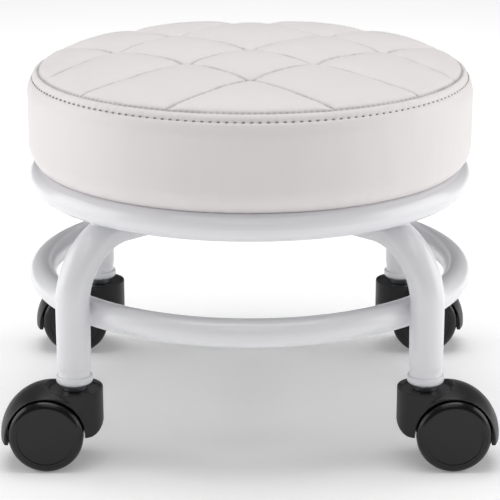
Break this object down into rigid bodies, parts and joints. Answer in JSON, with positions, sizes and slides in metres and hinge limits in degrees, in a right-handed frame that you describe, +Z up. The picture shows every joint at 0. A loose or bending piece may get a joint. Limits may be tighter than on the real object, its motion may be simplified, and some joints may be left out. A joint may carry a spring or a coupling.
{
  "type": "pedicure stool",
  "caption": "Low round salon stool: quilted padded seat on a welded white tube frame with a foot ring and swivelling twin-wheel casters.",
  "frame": {"origin": "on the floor, midway between the four casters, on the seat's axis", "axes": "+Z up along the seat's axis, +X to the right and -Y to the front, the casters trailing to -X and +X"},
  "size_m": [0.334, 0.314, 0.2665],
  "materials": {
    "white_powder_coat": "white powder coat, smooth satin gloss, on bent and welded steel tube",
    "white_pu_leather": "warm white synthetic leather with a fine grain, quilted on top, sewn with matching thread",
    "foam": "cut polyurethane foam",
    "plywood": "raw plywood",
    "black_felt": "black needled felt",
    "zinc_steel": "bright zinc plated steel",
    "black_nylon": "black moulded nylon, fine satin texture",
    "black_wheel_plastic": "black moulded nylon, semi-gloss with a polished tread edge"
  },
  "bodies": {
    "frame": {"seat_ring": "white_powder_coat", "foot_ring": "white_powder_coat", "leg_hoop": "white_powder_coat", "leg_front_right": "white_powder_coat", "leg_back_left": "white_powder_coat", "ring_welds": "white_powder_coat", "seat_lugs": "white_powder_coat", "socket_front_left": "white_powder_coat", "stem_front_left": "zinc_steel", "grip_ring_front_left": "zinc_steel", "socket_front_right": "white_powder_coat", "stem_front_right": "zinc_steel", "grip_ring_front_right": "zinc_steel", "socket_back_right": "white_powder_coat", "stem_back_right": "zinc_steel", "grip_ring_back_right": "zinc_steel", "socket_back_left": "white_powder_coat", "stem_back_left": "zinc_steel", "grip_ring_back_left": "zinc_steel", "seat_board": "plywood", "foam_pad": "foam", "cover_top": "white_pu_leather", "cover_band": "white_pu_leather", "dust_cover": "black_felt", "staples": "zinc_steel", "t_nuts": "zinc_steel", "seat_screws": "zinc_steel", "washers": "zinc_steel"},
    "caster_front_left": {"hood_front_left": "black_nylon", "axle_front_left": "zinc_steel", "retaining_ring_front_left": "zinc_steel"},
    "wheels_front_left_a": {"wheel_front_left_a": "black_wheel_plastic", "wheel_cap_front_left_a": "black_wheel_plastic"},
    "wheels_front_left_b": {"wheel_front_left_b": "black_wheel_plastic", "wheel_cap_front_left_b": "black_wheel_plastic"},
    "caster_front_right": {"hood_front_right": "black_nylon", "axle_front_right": "zinc_steel", "retaining_ring_front_right": "zinc_steel"},
    "wheels_front_right_a": {"wheel_front_right_a": "black_wheel_plastic", "wheel_cap_front_right_a": "black_wheel_plastic"},
    "wheels_front_right_b": {"wheel_front_right_b": "black_wheel_plastic", "wheel_cap_front_right_b": "black_wheel_plastic"},
    "caster_back_right": {"hood_back_right": "black_nylon", "axle_back_right": "zinc_steel", "retaining_ring_back_right": "zinc_steel"},
    "wheels_back_right_a": {"wheel_back_right_a": "black_wheel_plastic", "wheel_cap_back_right_a": "black_wheel_plastic"},
    "wheels_back_right_b": {"wheel_back_right_b": "black_wheel_plastic", "wheel_cap_back_right_b": "black_wheel_plastic"},
    "caster_back_left": {"hood_back_left": "black_nylon", "axle_back_left": "zinc_steel", "retaining_ring_back_left": "zinc_steel"},
    "wheels_back_left_a": {"wheel_back_left_a": "black_wheel_plastic", "wheel_cap_back_left_a": "black_wheel_plastic"},
    "wheels_back_left_b": {"wheel_back_left_b": "black_wheel_plastic", "wheel_cap_back_left_b": "black_wheel_plastic"}
  },
  "joints": [
    {"name": "swivel_front_left", "type": "hinge", "parent": "frame", "child": "caster_front_left", "pos_m": [-0.117, -0.117, 0.045], "axis": [0, 0, 1], "continuous": true},
    {"name": "roll_front_left_a", "type": "hinge", "parent": "caster_front_left", "child": "wheels_front_left_a", "pos_m": [-0.1354, -0.117, 0.025], "axis": [0, 1, 0], "continuous": true},
    {"name": "roll_front_left_b", "type": "hinge", "parent": "caster_front_left", "child": "wheels_front_left_b", "pos_m": [-0.1354, -0.117, 0.025], "axis": [0, 1, 0], "continuous": true},
    {"name": "swivel_front_right", "type": "hinge", "parent": "frame", "child": "caster_front_right", "pos_m": [0.117, -0.117, 0.045], "axis": [0, 0, 1], "continuous": true},
    {"name": "roll_front_right_a", "type": "hinge", "parent": "caster_front_right", "child": "wheels_front_right_a", "pos_m": [0.1354, -0.117, 0.025], "axis": [0, 1, 0], "continuous": true},
    {"name": "roll_front_right_b", "type": "hinge", "parent": "caster_front_right", "child": "wheels_front_right_b", "pos_m": [0.1354, -0.117, 0.025], "axis": [0, 1, 0], "continuous": true},
    {"name": "swivel_back_right", "type": "hinge", "parent": "frame", "child": "caster_back_right", "pos_m": [0.117, 0.117, 0.045], "axis": [0, 0, 1], "continuous": true},
    {"name": "roll_back_right_a", "type": "hinge", "parent": "caster_back_right", "child": "wheels_back_right_a", "pos_m": [0.1354, 0.117, 0.025], "axis": [0, 1, 0], "continuous": true},
    {"name": "roll_back_right_b", "type": "hinge", "parent": "caster_back_right", "child": "wheels_back_right_b", "pos_m": [0.1354, 0.117, 0.025], "axis": [0, 1, 0], "continuous": true},
    {"name": "swivel_back_left", "type": "hinge", "parent": "frame", "child": "caster_back_left", "pos_m": [-0.117, 0.117, 0.045], "axis": [0, 0, 1], "continuous": true},
    {"name": "roll_back_left_a", "type": "hinge", "parent": "caster_back_left", "child": "wheels_back_left_a", "pos_m": [-0.1354, 0.117, 0.025], "axis": [0, 1, 0], "continuous": true},
    {"name": "roll_back_left_b", "type": "hinge", "parent": "caster_back_left", "child": "wheels_back_left_b", "pos_m": [-0.1354, 0.117, 0.025], "axis": [0, 1, 0], "continuous": true}
  ]
}
